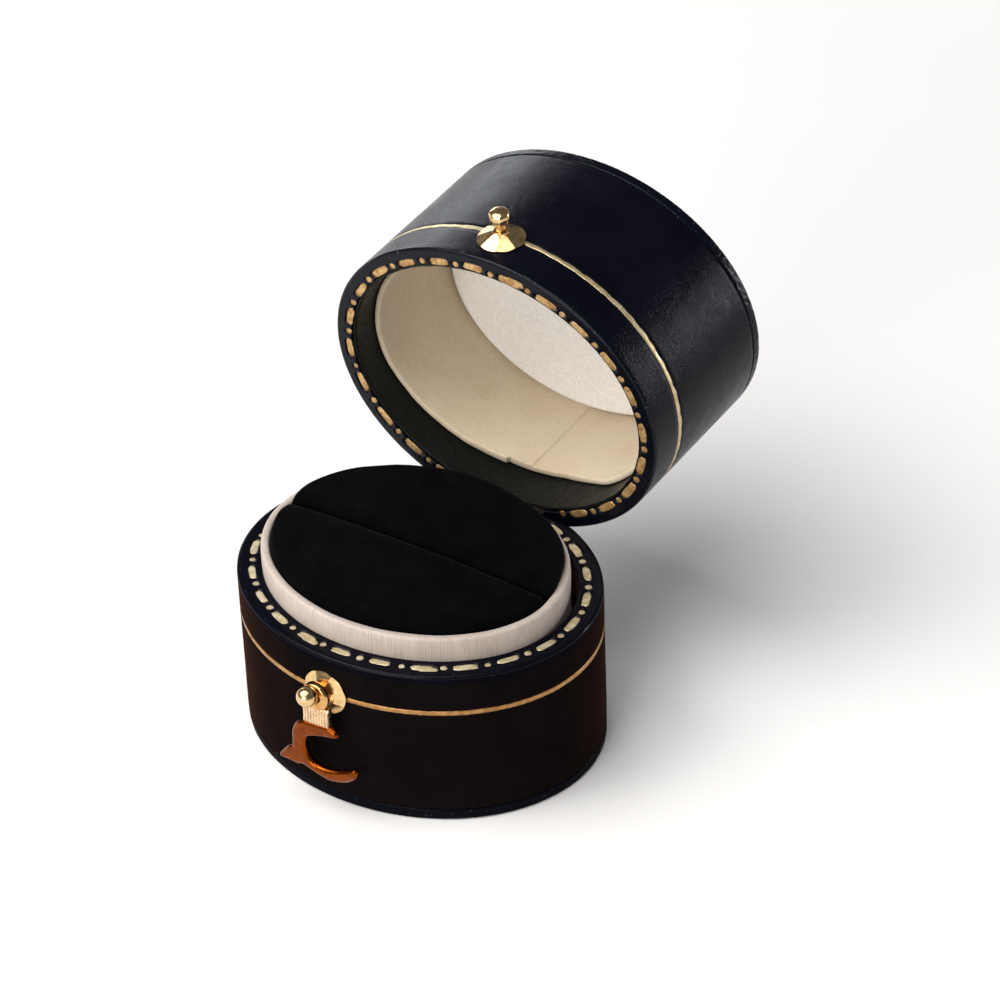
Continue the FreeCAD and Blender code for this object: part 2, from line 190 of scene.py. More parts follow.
def arc(centre_inset, centre_z, radius, start_deg, end_deg, count, up=1):
    """Points of a rounded edge in (inset, z), in millimetres; up is -1 for an edge that faces down."""
    angles = np.radians(np.linspace(start_deg, end_deg, count))
    return [(centre_inset - radius * math.cos(a), centre_z + up * radius * math.sin(a)) for a in angles]


def straight(start, end, step):
    """Points from start to end, both left out, about one step apart."""
    count = max(1, int(round(math.dist(start, end) / step)))
    return [tuple(np.add(start, np.subtract(end, start) * k / count)) for k in range(1, count)]


def oval_place(angle, inset, scale=1.0):
    """x and y, in metres, of an oval set in by inset millimetres."""
    x = (HALF_WIDTH - inset * MM) * scale * np.cos(angle)
    y = (HALF_DEPTH - inset * MM) * scale * np.sin(angle)
    return x, y


ANGLES = np.arange(SEGMENTS) * 2 * math.pi / SEGMENTS


def arc_lengths(inset):
    """Distance around the oval at that inset, in millimetres, at each of ANGLES, and the whole way round."""
    fine = np.linspace(0, 2 * math.pi, 8001)
    x, y = oval_place(fine, inset)
    run = np.concatenate([[0], np.cumsum(np.hypot(np.diff(x), np.diff(y)))]) / MM
    return np.interp(ANGLES, fine, run), run[-1], fine, run


def swept(name, profile, shape, wear=None, top=None, turn=None):
    """A ring swept round the oval. profile holds (inset, z) or (inset, z, scale), in millimetres above the table.
    shape(angle, around, points) returns changes in inset and z, as arrays of angles by profile points."""
    points = np.array([p if len(p) == 3 else (*p, 1.0) for p in profile], float)
    around = arc_lengths(TOOL_INSET)[0][:, None]
    angle = ANGLES[:, None]
    d_inset, d_height = shape(angle, around, points)
    x, y = oval_place(angle, points[:, 0] + d_inset, points[:, 2])
    grid = np.stack(np.broadcast_arrays(x, y, (points[:, 1] + d_height) * MM), axis=-1).reshape(-1, 3)
    step = np.concatenate([[0], np.cumsum(np.hypot(np.diff(points[:, 0]), np.diff(points[:, 1])))])
    uvs = np.stack(np.broadcast_arrays(around, step), axis=-1).reshape(-1, 2)
    extra = {"around": uvs[:, 0], "across": uvs[:, 1]}
    for key, rule in (("wear", wear), ("top", top)):
        if rule is not None:
            extra[key] = np.tile(rule(points), SEGMENTS)
    return new_mesh(name, grid, grid_faces(SEGMENTS, len(points)), uvs, extra, turn)


def spun(radius, out, angle, height):
    """The point at a radius and angle about a stud's axis, out millimetres before the wall."""
    return radius * math.cos(angle) * MM, FRONT - out * MM, height + radius * math.sin(angle) * MM


def face_outwards(made, weld=False):
    """Turn all faces of a closed mesh outwards, and first weld vertices that lie on each other if asked."""
    work = bmesh.new()
    work.from_mesh(made.data)
    if weld:
        bmesh.ops.remove_doubles(work, verts=work.verts, dist=0.002 * MM)
        bmesh.ops.dissolve_degenerate(work, edges=work.edges, dist=0.001 * MM)
        bare = [edge for edge in work.edges if not edge.link_faces]
        bmesh.ops.delete(work, geom=bare, context="EDGES")
    bmesh.ops.recalc_face_normals(work, faces=work.faces)
    work.to_mesh(made.data)
    work.free()
    return made


def merged(made):
    """The piece with vertices that lie on each other welded."""
    return face_outwards(made, weld=True)


def baked(made):
    """A mesh of the object as its modifiers or curve settings make it."""
    bpy.context.view_layer.update()
    return bpy.data.meshes.new_from_object(made.evaluated_get(bpy.context.evaluated_depsgraph_get()))


def cut(made, *cutters, operation="DIFFERENCE"):
    """Boolean cuts, applied, with the cutters removed."""
    for cutter in cutters:
        modifier = made.modifiers.new("cut", "BOOLEAN")
        modifier.operation = operation
        modifier.solver = "EXACT"
        modifier.object = cutter
        result = baked(made)
        made.modifiers.clear()
        made.data = result
        bpy.data.objects.remove(cutter)
    return made


def sharpen(made, degrees):
    """Keep edges steeper than the given angle crisp."""
    made.data.set_sharp_from_angle(angle=math.radians(degrees))
    return made


def finished(made, body, material, slot, *replaced):
    """Material, body and the CAD nodes that a piece stands for; slot is not used."""
    face_outwards(made)
    made.data.materials.append(material)
    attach(made, body)
    if replaced:
        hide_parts(*replaced)
    return made


# ---- materials ----

class Nodes:
    """A material being built, with short calls for the nodes this scene uses."""

    def __init__(self, name):
        self.material = bpy.data.materials.new(name)
        self.material.use_nodes = True
        self.tree = self.material.node_tree
        self.shader = self.tree.nodes["Principled BSDF"]
        self.place = self.tree.nodes.new("ShaderNodeTexCoord").outputs["Object"]

    def feed(self, socket, value):
        """Give an input a link, a colour or a number."""
        if isinstance(value, bpy.types.NodeSocket):
            self.tree.links.new(value, socket)
        else:
            socket.default_value = (*value, 1.0) if isinstance(value, tuple) else value

    def add(self, kind, inputs, **settings):
        """A node with its settings, and its inputs by name or number."""
        node = self.tree.nodes.new(kind)
        for key, value in settings.items():
            setattr(node, key, value)
        for key, value in inputs.items():
            self.feed(node.inputs[key], value)
        return node

    def noise(self, size_mm, detail=3.0, roughness=0.55, stretch=None):
        """Noise with lumps of about size_mm."""
        place = self.place
        if stretch is not None:
            mapping = self.add("ShaderNodeMapping", {"Vector": place})
            mapping.inputs["Scale"].default_value = stretch
            place = mapping.outputs["Vector"]
        return self.add("ShaderNodeTexNoise", {"Scale": 1 / (size_mm * MM), "Detail": detail,
                                               "Roughness": roughness, "Vector": place}).outputs["Fac"]

    def cells(self, size_mm):
        """Distance in small cells, for leather grain."""
        return self.add("ShaderNodeTexVoronoi", {"Scale": 1 / (size_mm * MM), "Vector": self.place},
                        feature="DISTANCE_TO_EDGE").outputs["Distance"]

    def attribute(self, name):
        """A value that the mesh carries at its points."""
        return self.add("ShaderNodeAttribute", {}, attribute_name=name).outputs["Fac"]

    def math(self, operation, first, second=0.0):
        """A sum, product or other function of numbers or sockets."""
        return self.add("ShaderNodeMath", {0: first, 1: second}, operation=operation).outputs[0]

    def ramp(self, value, low, high, start=0.0, end=1.0):
        """value between low and high becomes start to end, clamped."""
        inputs = {"Value": value, "From Min": low, "From Max": high, "To Min": start, "To Max": end}
        return self.add("ShaderNodeMapRange", inputs, interpolation_type="SMOOTHSTEP").outputs["Result"]

    def mix(self, share, first, second):
        """Blend of two colours, each a tuple or a socket."""
        return self.add("ShaderNodeMix", {0: share, 6: first, 7: second}, data_type="RGBA").outputs[2]

    def bumps(self, *layers):
        """Bumps of (height, distance_mm) laid over one another."""
        normal = None
        for height, distance_mm in layers:
            inputs = {"Height": height, "Distance": distance_mm * MM, "Strength": 1.0}
            if normal is not None:
                inputs["Normal"] = normal
            normal = self.add("ShaderNodeBump", inputs).outputs["Normal"]
        return normal

    def finish(self, color, roughness, normal=None, **others):
        """Set or connect the shader's inputs; an underscore in a name stands for a space."""
        for key, value in {"Base_Color": color, "Roughness": roughness, "Normal": normal, **others}.items():
            if value is not None:
                self.feed(self.shader.inputs[key.replace("_", " ")], value)
        return self.material


RUBBED = (0.070, 0.075, 0.090)       # leather where its dye has worn off
BARE = (0.030, 0.020, 0.014)         # what shows where the gold has
# tint of a painted brown reflection, shown as sheen at grazing angles
BROWN_REFLECTION_TINT = (1.0, 0.42, 0.24)
COOL_SHEEN = (0.35, 0.37, 0.44)
LINT = (0.03, 0.03, 0.035)


def leather(name, deep, light, rim, gloss, shine, tint, reflection_sheen=0.0):
    """Smooth dyed leather with a fine grain, worn where the wear attribute is high and bluer where top is;
    reflection_sheen adds a brown sheen at grazing angles, a painted reflection.
    """
    m = Nodes(name)
    color = m.mix(m.ramp(m.noise(5.0, 4.0), 0.35, 0.7), deep, light)
    top = m.attribute("top")
    rubbed = m.math("MULTIPLY", m.attribute("wear"), m.ramp(m.noise(0.30, 2.0, 0.7), 0.66, 0.74))
    color = m.mix(rubbed, m.mix(top, color, rim), RUBBED)
    creases = m.noise(0.8, 5.0, 0.65, stretch=(1.0, 1.0, 0.35))
    normal = m.bumps((m.noise(1.8, 3.0, 0.5), 0.03), (creases, 0.005), (m.ramp(m.cells(0.24), 0.0, 0.22), 0.007),
                     (m.noise(0.09, 3.0, 0.6), 0.004))
    roughness = m.math("ADD", m.ramp(m.noise(2.4, 4.0, 0.6), 0.3, 0.7, gloss - 0.04, gloss + 0.05),
                       m.math("MULTIPLY", rubbed, 0.10))
    roughness = m.math("SUBTRACT", roughness, m.math("MULTIPLY", top, 0.04))
    return m.finish(color, roughness, normal, Specular_IOR_Level=shine, Specular_Tint=tint, Sheen_Weight=reflection_sheen,
                    Sheen_Roughness=0.3, Sheen_Tint=BROWN_REFLECTION_TINT, Coat_Roughness=0.16,
                    Coat_Weight=m.ramp(top, 0.90, 1.0, 0.0, 0.16))


def gilt(name, bright, dull, cover):
    """Thin gold leaf pressed into leather, broken where it has rubbed off."""
    m = Nodes(name)
    tone = m.mix(m.ramp(m.noise(0.7, 3.0), 0.35, 0.65), bright, dull)
    worn = m.ramp(m.noise(0.22, 4.0, 0.7), cover, cover + 0.05)
    metal = m.ramp(m.math("SUBTRACT", 1.0, worn), 0.0, 1.0, 0.0, 0.6)
    roughness = m.ramp(m.noise(0.3, 2.0), 0.3, 0.7, 0.30, 0.48)
    return m.finish(m.mix(worn, tone, BARE), roughness, m.bumps((m.noise(0.18, 3.0, 0.6), 0.020)), Metallic=metal)


def velvet():
    """Black silk velvet: hardly any colour, a faint sheen and a few specks of lint."""
    m = Nodes("black_velvet")
    color = m.mix(m.ramp(m.noise(2.8, 3.0), 0.35, 0.7), (0.0006, 0.0006, 0.0008), (0.0016, 0.0016, 0.0019))
    color = m.mix(m.ramp(m.noise(0.16, 1.0), 0.86, 0.89), color, LINT)
    normal = m.bumps((m.noise(0.07, 2.0, 0.7), 0.03), (m.noise(1.5, 3.0), 0.05))
    return m.finish(color, 0.95, normal, Sheen_Weight=0.05, Sheen_Roughness=0.3, Sheen_Tint=COOL_SHEEN,
                    Specular_IOR_Level=0.04)


def threads(m, across, pitch_mm):
    """A height from -0.5 to 0.5 that repeats every pitch_mm along a millimetre coordinate."""
    return m.math("MULTIPLY", m.math("SINE", m.math("MULTIPLY", across, 2 * math.pi / pitch_mm)), 0.5)


def satin(name, deep, light, pitch_mm, depth_mm, rough, sheen):
    """Satin with fine upright threads, slubs and soft tone changes."""
    m = Nodes(name)
    wander = m.math("MULTIPLY", m.noise(1.3, 2.0), 0.35)
    line = threads(m, m.math("ADD", m.attribute("around"), wander), pitch_mm)
    streak = m.noise(0.30, 3.0, 0.6, stretch=(1.0, 1.0, 0.12))
    tone = m.math("ADD", m.math("MULTIPLY", streak, 0.35), m.math("MULTIPLY", m.noise(5.0, 2.0), 0.3))
    tone = m.math("ADD", tone, m.math("MULTIPLY", line, 0.10))
    normal = m.bumps((streak, depth_mm * 1.5), (line, depth_mm), (m.noise(3.2, 3.0), 0.10))
    return m.finish(m.mix(m.ramp(tone, 0.14, 0.50), deep, light), rough, normal, Sheen_Weight=sheen,
                    Sheen_Roughness=0.4, Specular_IOR_Level=0.35)


def ribbed_cloth(name, deep, light):
    """Ivory cloth with fine diagonal ribs and a cross weave."""
    m = Nodes(name)
    split = m.add("ShaderNodeSeparateXYZ", {0: m.place})
    along, up = (m.math("MULTIPLY", split.outputs[k], 1 / MM) for k in (0, 2))
    rib = threads(m, m.math("ADD", m.math("MULTIPLY", along, 0.35), up), 0.42)
    weave = threads(m, m.math("SUBTRACT", along, m.math("MULTIPLY", up, 0.3)), 0.30)
    tone = m.math("ADD", m.math("MULTIPLY", rib, 0.28), m.noise(0.35, 3.0, 0.7))
    normal = m.bumps((rib, 0.035), (weave, 0.016), (m.noise(0.25, 3.0, 0.7), 0.03))
    return m.finish(m.mix(m.ramp(tone, 0.25, 0.80), deep, light), 0.72, normal, Sheen_Weight=0.25,
                    Sheen_Roughness=0.5, Specular_IOR_Level=0.3)


def brass(name, bright, dull, gloss, lacquer=0.0):
    """Polished brass with faint tarnish and tiny scratches."""
    m = Nodes(name)
    color = m.mix(m.ramp(m.noise(0.9, 4.0, 0.6), 0.40, 0.75), bright, dull)
    scratches = m.noise(0.12, 3.0, 0.6, stretch=(1.0, 1.0, 0.25))
    roughness = m.ramp(m.noise(0.5, 3.0), 0.3, 0.75, gloss, gloss + 0.10)
    return m.finish(color, roughness, m.bumps((scratches, 0.0010), (m.noise(1.0, 2.0), 0.012)), Metallic=1.0,
                    Coat_Weight=lacquer)


def card(name, deep, light):
    """Pasteboard with short fibres, bare or darkened to a painted shade."""
    m = Nodes(name)
    fibres = m.noise(0.5, 4.0, 0.7, stretch=(1.0, 0.4, 1.0))
    return m.finish(m.mix(m.ramp(fibres, 0.3, 0.7), deep, light), 0.85, m.bumps((fibres, 0.02)))


NAVY = (0.0022, 0.0029, 0.0060)
LID_LEATHER = leather("lid_leather", (0.0020, 0.0022, 0.0052), (0.0034, 0.0037, 0.0080), NAVY, 0.25, 0.07,
                      (0.90, 0.92, 1.0))
# The base leather's slight warmth, warm specular tint and brown sheen at its sides are painted reflection of brown
# surroundings.
BASE_LEATHER = leather("base_leather", (0.0042, 0.0034, 0.0036), (0.0064, 0.0046, 0.0046), NAVY, 0.38, 0.0,
                       (1.0, 0.60, 0.45), reflection_sheen=0.075)
BAND_LEATHER = leather("band_leather", (0.0016, 0.0022, 0.0021), (0.0032, 0.0040, 0.0037), NAVY, 0.36, 0.15,
                       (0.9, 1.0, 0.95))
BASE_RIM_GILT = gilt("base_rim_gilt", (0.80, 0.71, 0.48), (0.58, 0.48, 0.28), 0.62)
LID_RIM_GILT = gilt("lid_rim_gilt", (0.64, 0.42, 0.18), (0.40, 0.21, 0.07), 0.575)
# The base's gold line is a darker, more orange copy of the lid's: painted reflection of warm surroundings.
BASE_LINE_GILT = gilt("base_line_gilt", (0.46, 0.24, 0.075), (0.30, 0.14, 0.04), 0.76)
LID_LINE_GILT = gilt("lid_line_gilt", (0.62, 0.52, 0.32), (0.50, 0.38, 0.19), 0.76)
VELVET = velvet()
COLLAR_SATIN = satin("collar_satin", (0.41, 0.335, 0.285), (0.55, 0.47, 0.42), 0.30, 0.014, 0.50, 0.12)
LINER_SATIN = satin("liner_satin", (0.57, 0.455, 0.31), (0.68, 0.585, 0.445), 0.24, 0.005, 0.48, 0.12)
CEILING_CLOTH = ribbed_cloth("ceiling_cloth", (0.82, 0.78, 0.74), (0.95, 0.93, 0.90))
BRASS = brass("polished_brass", (0.82, 0.58, 0.29), (0.58, 0.34, 0.13), 0.17)
HOOK_BRASS = brass("hook_brass", (0.24, 0.050, 0.003), (0.15, 0.030, 0.002), 0.20, lacquer=0.05)
EYE_BRASS = brass("eye_brass", (0.72, 0.42, 0.16), (0.54, 0.27, 0.09), 0.16)
NECK_BRASS = brass("neck_brass", (0.88, 0.68, 0.46), (0.66, 0.44, 0.26), 0.24)
CARD = card("pasteboard", (0.30, 0.23, 0.16), (0.44, 0.36, 0.27))
# Near-black pasteboard for the wall cores: painted shade where their bevels show in the hinge gap.
SHADE_DARKENED_CARD = card("shade_darkened_card", (0.0070, 0.0050, 0.0042), (0.0150, 0.0105, 0.0085))


# ---- tooling pattern shared by both rims ----

SLIP_ALONG = 0.55       # how far off a double-struck dash landed
SLIP_ACROSS = 0.20


def tool_marks(phase, seed, slips=()):
    """Centres of the dashes and dots around a rim: (distance around in mm, is_dash, size factor, sideways shift).
    slips are the angles, in degrees, where a dash was struck twice."""
    _, whole, fine, run = arc_lengths(TOOL_INSET)
    draw = np.random.default_rng(seed)
    marks = []
    for number in range(2 * TOOL_COUNT):
        place = (phase + number / 2 + draw.normal(0, 0.012)) / TOOL_COUNT % 1.0 * whole
        size = 1 + draw.normal(0, 0.05)
        shift = draw.normal(0, 0.04)
        angle = np.interp(place, run, fine)
        x, y = oval_place(angle, TOOL_INSET)
        if y > 0 and abs(x) < REAR_CLEAR * MM:
            continue
        marks.append((place, number % 2 == 0, size, shift))
    dashes = [mark for mark in marks if mark[1]]
    for degrees in slips:
        wanted = np.interp(math.radians(degrees), fine, run)
        place, _, size, shift = min(dashes, key=lambda mark: abs(mark[0] - wanted))
        marks.append((place + SLIP_ALONG, True, size * 0.82, shift - SLIP_ACROSS))
    return marks, whole


def mark_distance(marks, whole, around, inset):
    """Signed distance in mm from the edge of the nearest tool mark, negative inside it."""
    nearest = np.full(np.broadcast(around, inset).shape, 9.0)
    for place, is_dash, size, shift in marks:
        along = (around - place + whole / 2) % whole - whole / 2
        side = inset - TOOL_INSET - shift
        if is_dash:
            reach = (DASH_HALF_LENGTH - DASH_HALF_WIDTH) * size
            past = np.maximum(np.abs(along) - reach, 0)
            distance = np.hypot(past, side) - DASH_HALF_WIDTH * size
        else:
            distance = np.hypot(along, side) - DOT_RADIUS * size
        nearest = np.minimum(nearest, distance)
    return nearest


BASE_MARKS, TOOL_ROUND = tool_marks(BASE_TOOL_PHASE, 11, (262, 298))
LID_MARKS, _ = tool_marks(LID_TOOL_PHASE, 23, (285,))


def rim_gilding(name, marks, rim_z, outward, seed, turn=None):
    """Gold dashes and dots lying in the pressed marks of a rim; outward is the rim's facing along z."""
    _, whole, fine, run = arc_lengths(TOOL_INSET)
    draw = np.random.default_rng(seed)
    rings, spokes, waves = 5, 44, 6
    shares = [(ring + 1) / rings for ring in range(rings)]
    after = [(number + 1) % spokes for number in range(spokes)]
    vertices, faces = [], []
    for place, is_dash, size, shift in marks:
        half_length = (DASH_HALF_LENGTH if is_dash else DOT_RADIUS) * size * GILT_SHARE
        half_width = (DASH_HALF_WIDTH if is_dash else DOT_RADIUS) * size * GILT_SHARE
        power = 3.4 if is_dash else 2.1
        ripple = draw.normal(0, 1, waves)
        outline = []
        for number in range(spokes):
            angle = 2 * math.pi * number / spokes
            c, s = math.cos(angle), math.sin(angle)
            reach = (abs(c) ** power + abs(s) ** power) ** (-1 / power)
            waver = sum(ripple[k] * math.cos((k + 2) * angle + k) for k in range(waves))
            reach *= 1 + 0.020 * waver
            outline.append((half_length * c * reach, half_width * s * reach))

        def spot(along, across, lift):
            """A point of this mark on the rim."""
            x, y = oval_place(np.interp((place + along) % whole, run, fine), TOOL_INSET + shift + across)
            return x, y, rim_z + outward * (-TOOL_SUNK + GILT_RAISED + lift) * MM

        first = len(vertices)
        for swell, under in ((GILT_SWELL, 0.0), (0.0, GILT_UNDER)):
            vertices += [spot(along * share, across * share, swell * (1 - share ** 6) + under)
                         for share in shares for along, across in outline]
        vertices += [spot(0, 0, GILT_SWELL), spot(0, 0, GILT_UNDER)]
        centre = first + 2 * rings * spokes
        for side in range(2):
            start = first + side * rings * spokes
            faces += [(centre + side, start + number, start + after[number]) for number in range(spokes)]
            faces += [tuple(start + k for k in face) for face in grid_faces(rings, spokes, False)]
        outer, under = first + (rings - 1) * spokes, first + (2 * rings - 1) * spokes
        faces += [(outer + number, under + number, under + after[number], outer + after[number])
                  for number in range(spokes)]
    return merged(new_mesh(name, vertices, faces, turn=turn))


def gold_line(name, z, seed, turn=None):
    """A narrow gilt fillet running round a wall, hand-drawn and a little uneven."""
    half = LINE_HALF
    profile = [(0.06, z - half), (0.035, z - half), (0.022, z - half * 0.5), (0.018, z), (0.022, z + half * 0.5),
               (0.035, z + half), (0.06, z + half)]
    draw = np.random.default_rng(seed)
    waves = [(number, draw.normal(0, 1), draw.uniform(0, 6.28)) for number in (7, 13, 31, 59, 97, 151, 211)]

    def shape(angle, around, points):
        width = sum(0.045 * amount * np.cos(number * angle + shift) for number, amount, shift in waves)
        middle = sum(0.012 * amount * np.cos((number + 1) * angle - shift) for number, amount, shift in waves)
        return np.zeros((SEGMENTS, len(points))), middle + width * (points[:, 1] - z)[None, :]

    return swept(name, profile, shape, turn=turn)


# ---- wall leathers ----

def wall_shape(rim_mm, outward, line_mm, marks, seed):
    """Unevenness of a covered wall: tool marks in the rim, a pressed line, a slightly wavy rim and skin."""
    def shape(angle, around, points):
        inset, z = points[:, 0], points[:, 1]
        from_rim = np.abs(z - rim_mm)
        on_skin = ((inset < LEATHER_BACK - 0.02) | (from_rim < EDGE_ROUND + 0.05)) & (from_rim < 17.3)
        lumps, = grid_field(*oval_place(angle, inset), z * MM, (3.5, seed))
        swell = np.where(on_skin, 0.018 * lumps, 0)
        in_line = smooth_step(LINE_HALF + 0.12, LINE_HALF - 0.02, np.abs(z - line_mm)) * (inset < 0.1)
        d_inset = swell * smooth_step(EDGE_ROUND, 0.02, inset) + 0.012 + in_line * LINE_SUNK
        on_rim = smooth_step(0.30, 0.04, from_rim) * smooth_step(0.05, EDGE_ROUND, inset)
        pressed = smooth_step(TOOL_SOFT, -0.04, mark_distance(marks, TOOL_ROUND, around, inset)) * TOOL_SUNK
        d_height = -outward * on_rim * (pressed + 0.012 + np.abs(swell))
        return np.where(on_skin, d_inset, 0), np.where(on_skin, d_height, 0)
    return shape


def wall_profile(rim, far, width, line, turn_in):
    """Closed section of a wall leather in (inset, z) mm, from the groove at far, over the rim and back inside."""
    outward = 1 if rim > far else -1
    points = [(GROOVE_ROUND * 2, far)]
    points += arc(GROOVE_ROUND, far + outward * GROOVE_ROUND, GROOVE_ROUND, -90, 0, 6, outward)
    last = points[-1]
    beside_line = outward * (LINE_HALF + 0.09)
    for stop in (line - beside_line, line + beside_line, rim - outward * EDGE_ROUND):
        spacing = 0.05 if abs(stop - last[1]) < 0.8 else 0.42
        points += straight(last, (0.0, stop), spacing)
        last = (0.0, stop)
        points.append(last)
    points += arc(EDGE_ROUND, rim - outward * EDGE_ROUND, EDGE_ROUND, 0, 90, 9, outward)[1:]
    points += straight((EDGE_ROUND, rim), (width - INNER_ROUND, rim), 0.075)
    points += arc(width - INNER_ROUND, rim - outward * INNER_ROUND, INNER_ROUND, 90, 180, 5, outward)
    inner_end = rim - outward * turn_in
    under_rim = rim - outward * RIM_LEATHER
    points += straight((width, rim - outward * INNER_ROUND), (width, inner_end), 0.6)
    points += [(width, inner_end), (width - 0.36, inner_end), (width - 0.36, under_rim), (LEATHER_BACK, under_rim)]
    points += straight((LEATHER_BACK, under_rim), (LEATHER_BACK, far), 1.2)
    points.append((LEATHER_BACK, far))
    return points


def prism(name, section, from_x, to_x):
    """A closed prism along x over a section of four (y, z) corners."""
    vertices = [(x, y, z) for x in (from_x, to_x) for y, z in section]
    faces = [(0, 1, 2, 3), (7, 6, 5, 4)] + [(k, k + 4, (k + 1) % 4 + 4, (k + 1) % 4) for k in range(4)]
    return merged(new_mesh(name, vertices, faces))


def hinge_wedge(wall_side):
    """The space behind the hinge line that the wall gives up, so that the open lid rests on its bevels."""
    slope, gap, far, half = OPEN_ANGLE / 2, 0.07 * MM, 12 * MM, 15 * MM
    start_y = HINGE.y - math.sin(slope) * gap
    start_z = HINGE.z + wall_side * math.cos(slope) * gap
    corner_y = start_y + math.cos(slope) * far
    corner_z = start_z + wall_side * math.sin(slope) * far
    far_z = start_z - wall_side * far
    return prism("wedge", [(start_y, start_z), (corner_y, corner_z), (corner_y, far_z), (start_y, far_z)],
                 -half, half)


def hinge_notch():
    """Room for the hinge's knuckles."""
    leaf_low, leaf_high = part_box("hinge_leaf_base")
    reach, tall, beside = (KNUCKLE_RADIUS + 0.14) * MM, 1.1 * MM, 0.12 * MM
    section = [(HINGE.y + y * reach, HINGE.z + z * tall) for y, z in ((-1, -1), (1, -1), (1, 1), (-1, 1))]
    return prism("notch", section, leaf_low.x - beside, leaf_high.x + beside)


def wall_leather(body, rim_z, cover_z, width, turn_in, outward, marks, seeds, looks, turn=None):
    """Leather of a wall with its gilding and gold line. seeds are for the skin, the gilding and the line, looks
    the materials of the same three."""
    rim, far = rim_z / MM, cover_z / MM + outward * GROOVE_OPEN
    line = rim - outward * LINE_FROM_RIM

    def wear(points):
        """Wear along the outer edge of the rim."""
        return smooth_step(0.75, 0.1, np.hypot(points[:, 0], points[:, 1] - rim))

    def top(points):
        """The rim itself, which is bluer and glossier than the wall below it."""
        return smooth_step(1.3, 0.25, np.abs(points[:, 1] - rim))

    shape = wall_shape(rim, outward, line, marks, seeds[0])
    made = swept(body + "_leather_skin", wall_profile(rim, far, width, line, turn_in), shape, wear, top)
    cut(made, hinge_wedge(-outward), hinge_notch())
    if turn is not None:
        made.data.transform(turn)
    finished(made, body, looks[0], "black_leather", body + "_wall_leather")
    made = rim_gilding(body + "_rim_gilding", marks, rim_z, outward, seeds[1], turn)
    finished(made, body, looks[1], "polished_brass")
    finished(gold_line(body + "_gold_line", line, seeds[2], turn), body, looks[2], "polished_brass")


def cover(name, outer, inner, seed, turn=None):
    """Leather over a top or bottom board; outer and inner are the z of its open face and of the groove side."""
    out = 1 if outer > inner else -1
    edge, rings, back_rings = EDGE_ROUND, 26, 6
    under = outer - out * 0.34
    points = [(0.40, inner)] + arc(GROOVE_ROUND, inner + out * GROOVE_ROUND, GROOVE_ROUND, -90, 0, 6, out)
    points += straight((0, inner + out * GROOVE_ROUND), (0, outer - out * edge), 0.08)
    points += arc(edge, outer - out * edge, edge, 0, 90, 8, out)
    points += [(edge, outer, 1 - k / rings) for k in range(1, rings)]
    points += [(edge, outer, 0.0), (edge, under, 0.0)]
    points += [(edge + 0.2, under, k / back_rings) for k in range(1, back_rings + 1)] + [(0.42, under)]

    def shape(angle, around, profile):
        inset, z, scale = profile.T
        pleat, lumps = grid_field(*oval_place(angle, inset, scale), z * MM, (0.55, seed, 3), (4.0, seed + 2))
        side = smooth_step(0.3, 0.05, inset) * (scale > 0.99)
        outer_face = (np.abs(z - outer) < 0.02) & (inset > 0.3)
        d_inset = side * (0.06 * np.abs(pleat) + 0.012 * np.abs(lumps) + 0.010)
        return d_inset, np.where(outer_face, -out * 0.02 * np.abs(lumps) - out * 0.01, 0)

    def wear(profile):
        return np.where(profile[:, 2] > 0.97, smooth_step(0.55, 0.05, profile[:, 0]), 0)

    def top(profile):
        return np.where(profile[:, 2] > 0.97, 0.94 * smooth_step(0.6, 0.2, profile[:, 0]), 0)

    return merged(swept(name, points, shape, wear, top, turn))


def leathers():
    """Leather of both walls, and of the bottom and top boards."""
    wall_leather("base", BASE_RIM, COVER_TOP, BASE_RIM_WIDTH, BASE_TURN_IN, 1, BASE_MARKS, (3, 5, 7),
                 (BASE_LEATHER, BASE_RIM_GILT, BASE_LINE_GILT))
    wall_leather("lid", LID_RIM, LID_COVER, LID_RIM_WIDTH, LID_TURN_IN, -1, LID_MARKS, (8, 9, 13),
                 (LID_LEATHER, LID_RIM_GILT, LID_LINE_GILT), OPEN)
    made = cover("base_cover", 0.0, COVER_TOP / MM, 31)
    finished(made, "base", BASE_LEATHER, "black_leather", "base_bottom_leather")
    made = cover("lid_cover", LID_TOP / MM, LID_COVER / MM, 37, OPEN)
    finished(made, "lid", LID_LEATHER, "black_leather", "lid_top_leather")


# ---- linings ----

LEAN = 0.65             # how far the collar stands in from the oval at the rear right
PAD_LEAN = 0.52         # and the pads with it
LEAN_FOOT = BASE_RIM / MM - 6.0     # heights between which it comes away from the wall
LEAN_FULL = BASE_RIM / MM - 2.5


def rear_right(angle):
    """1 at the rear right of the oval, where the collar stands away from the wall, 0 elsewhere."""
    degrees = (np.degrees(angle) + 180) % 360 - 180
    return smooth_step(-25, 20, degrees) * smooth_step(105, 65, degrees)


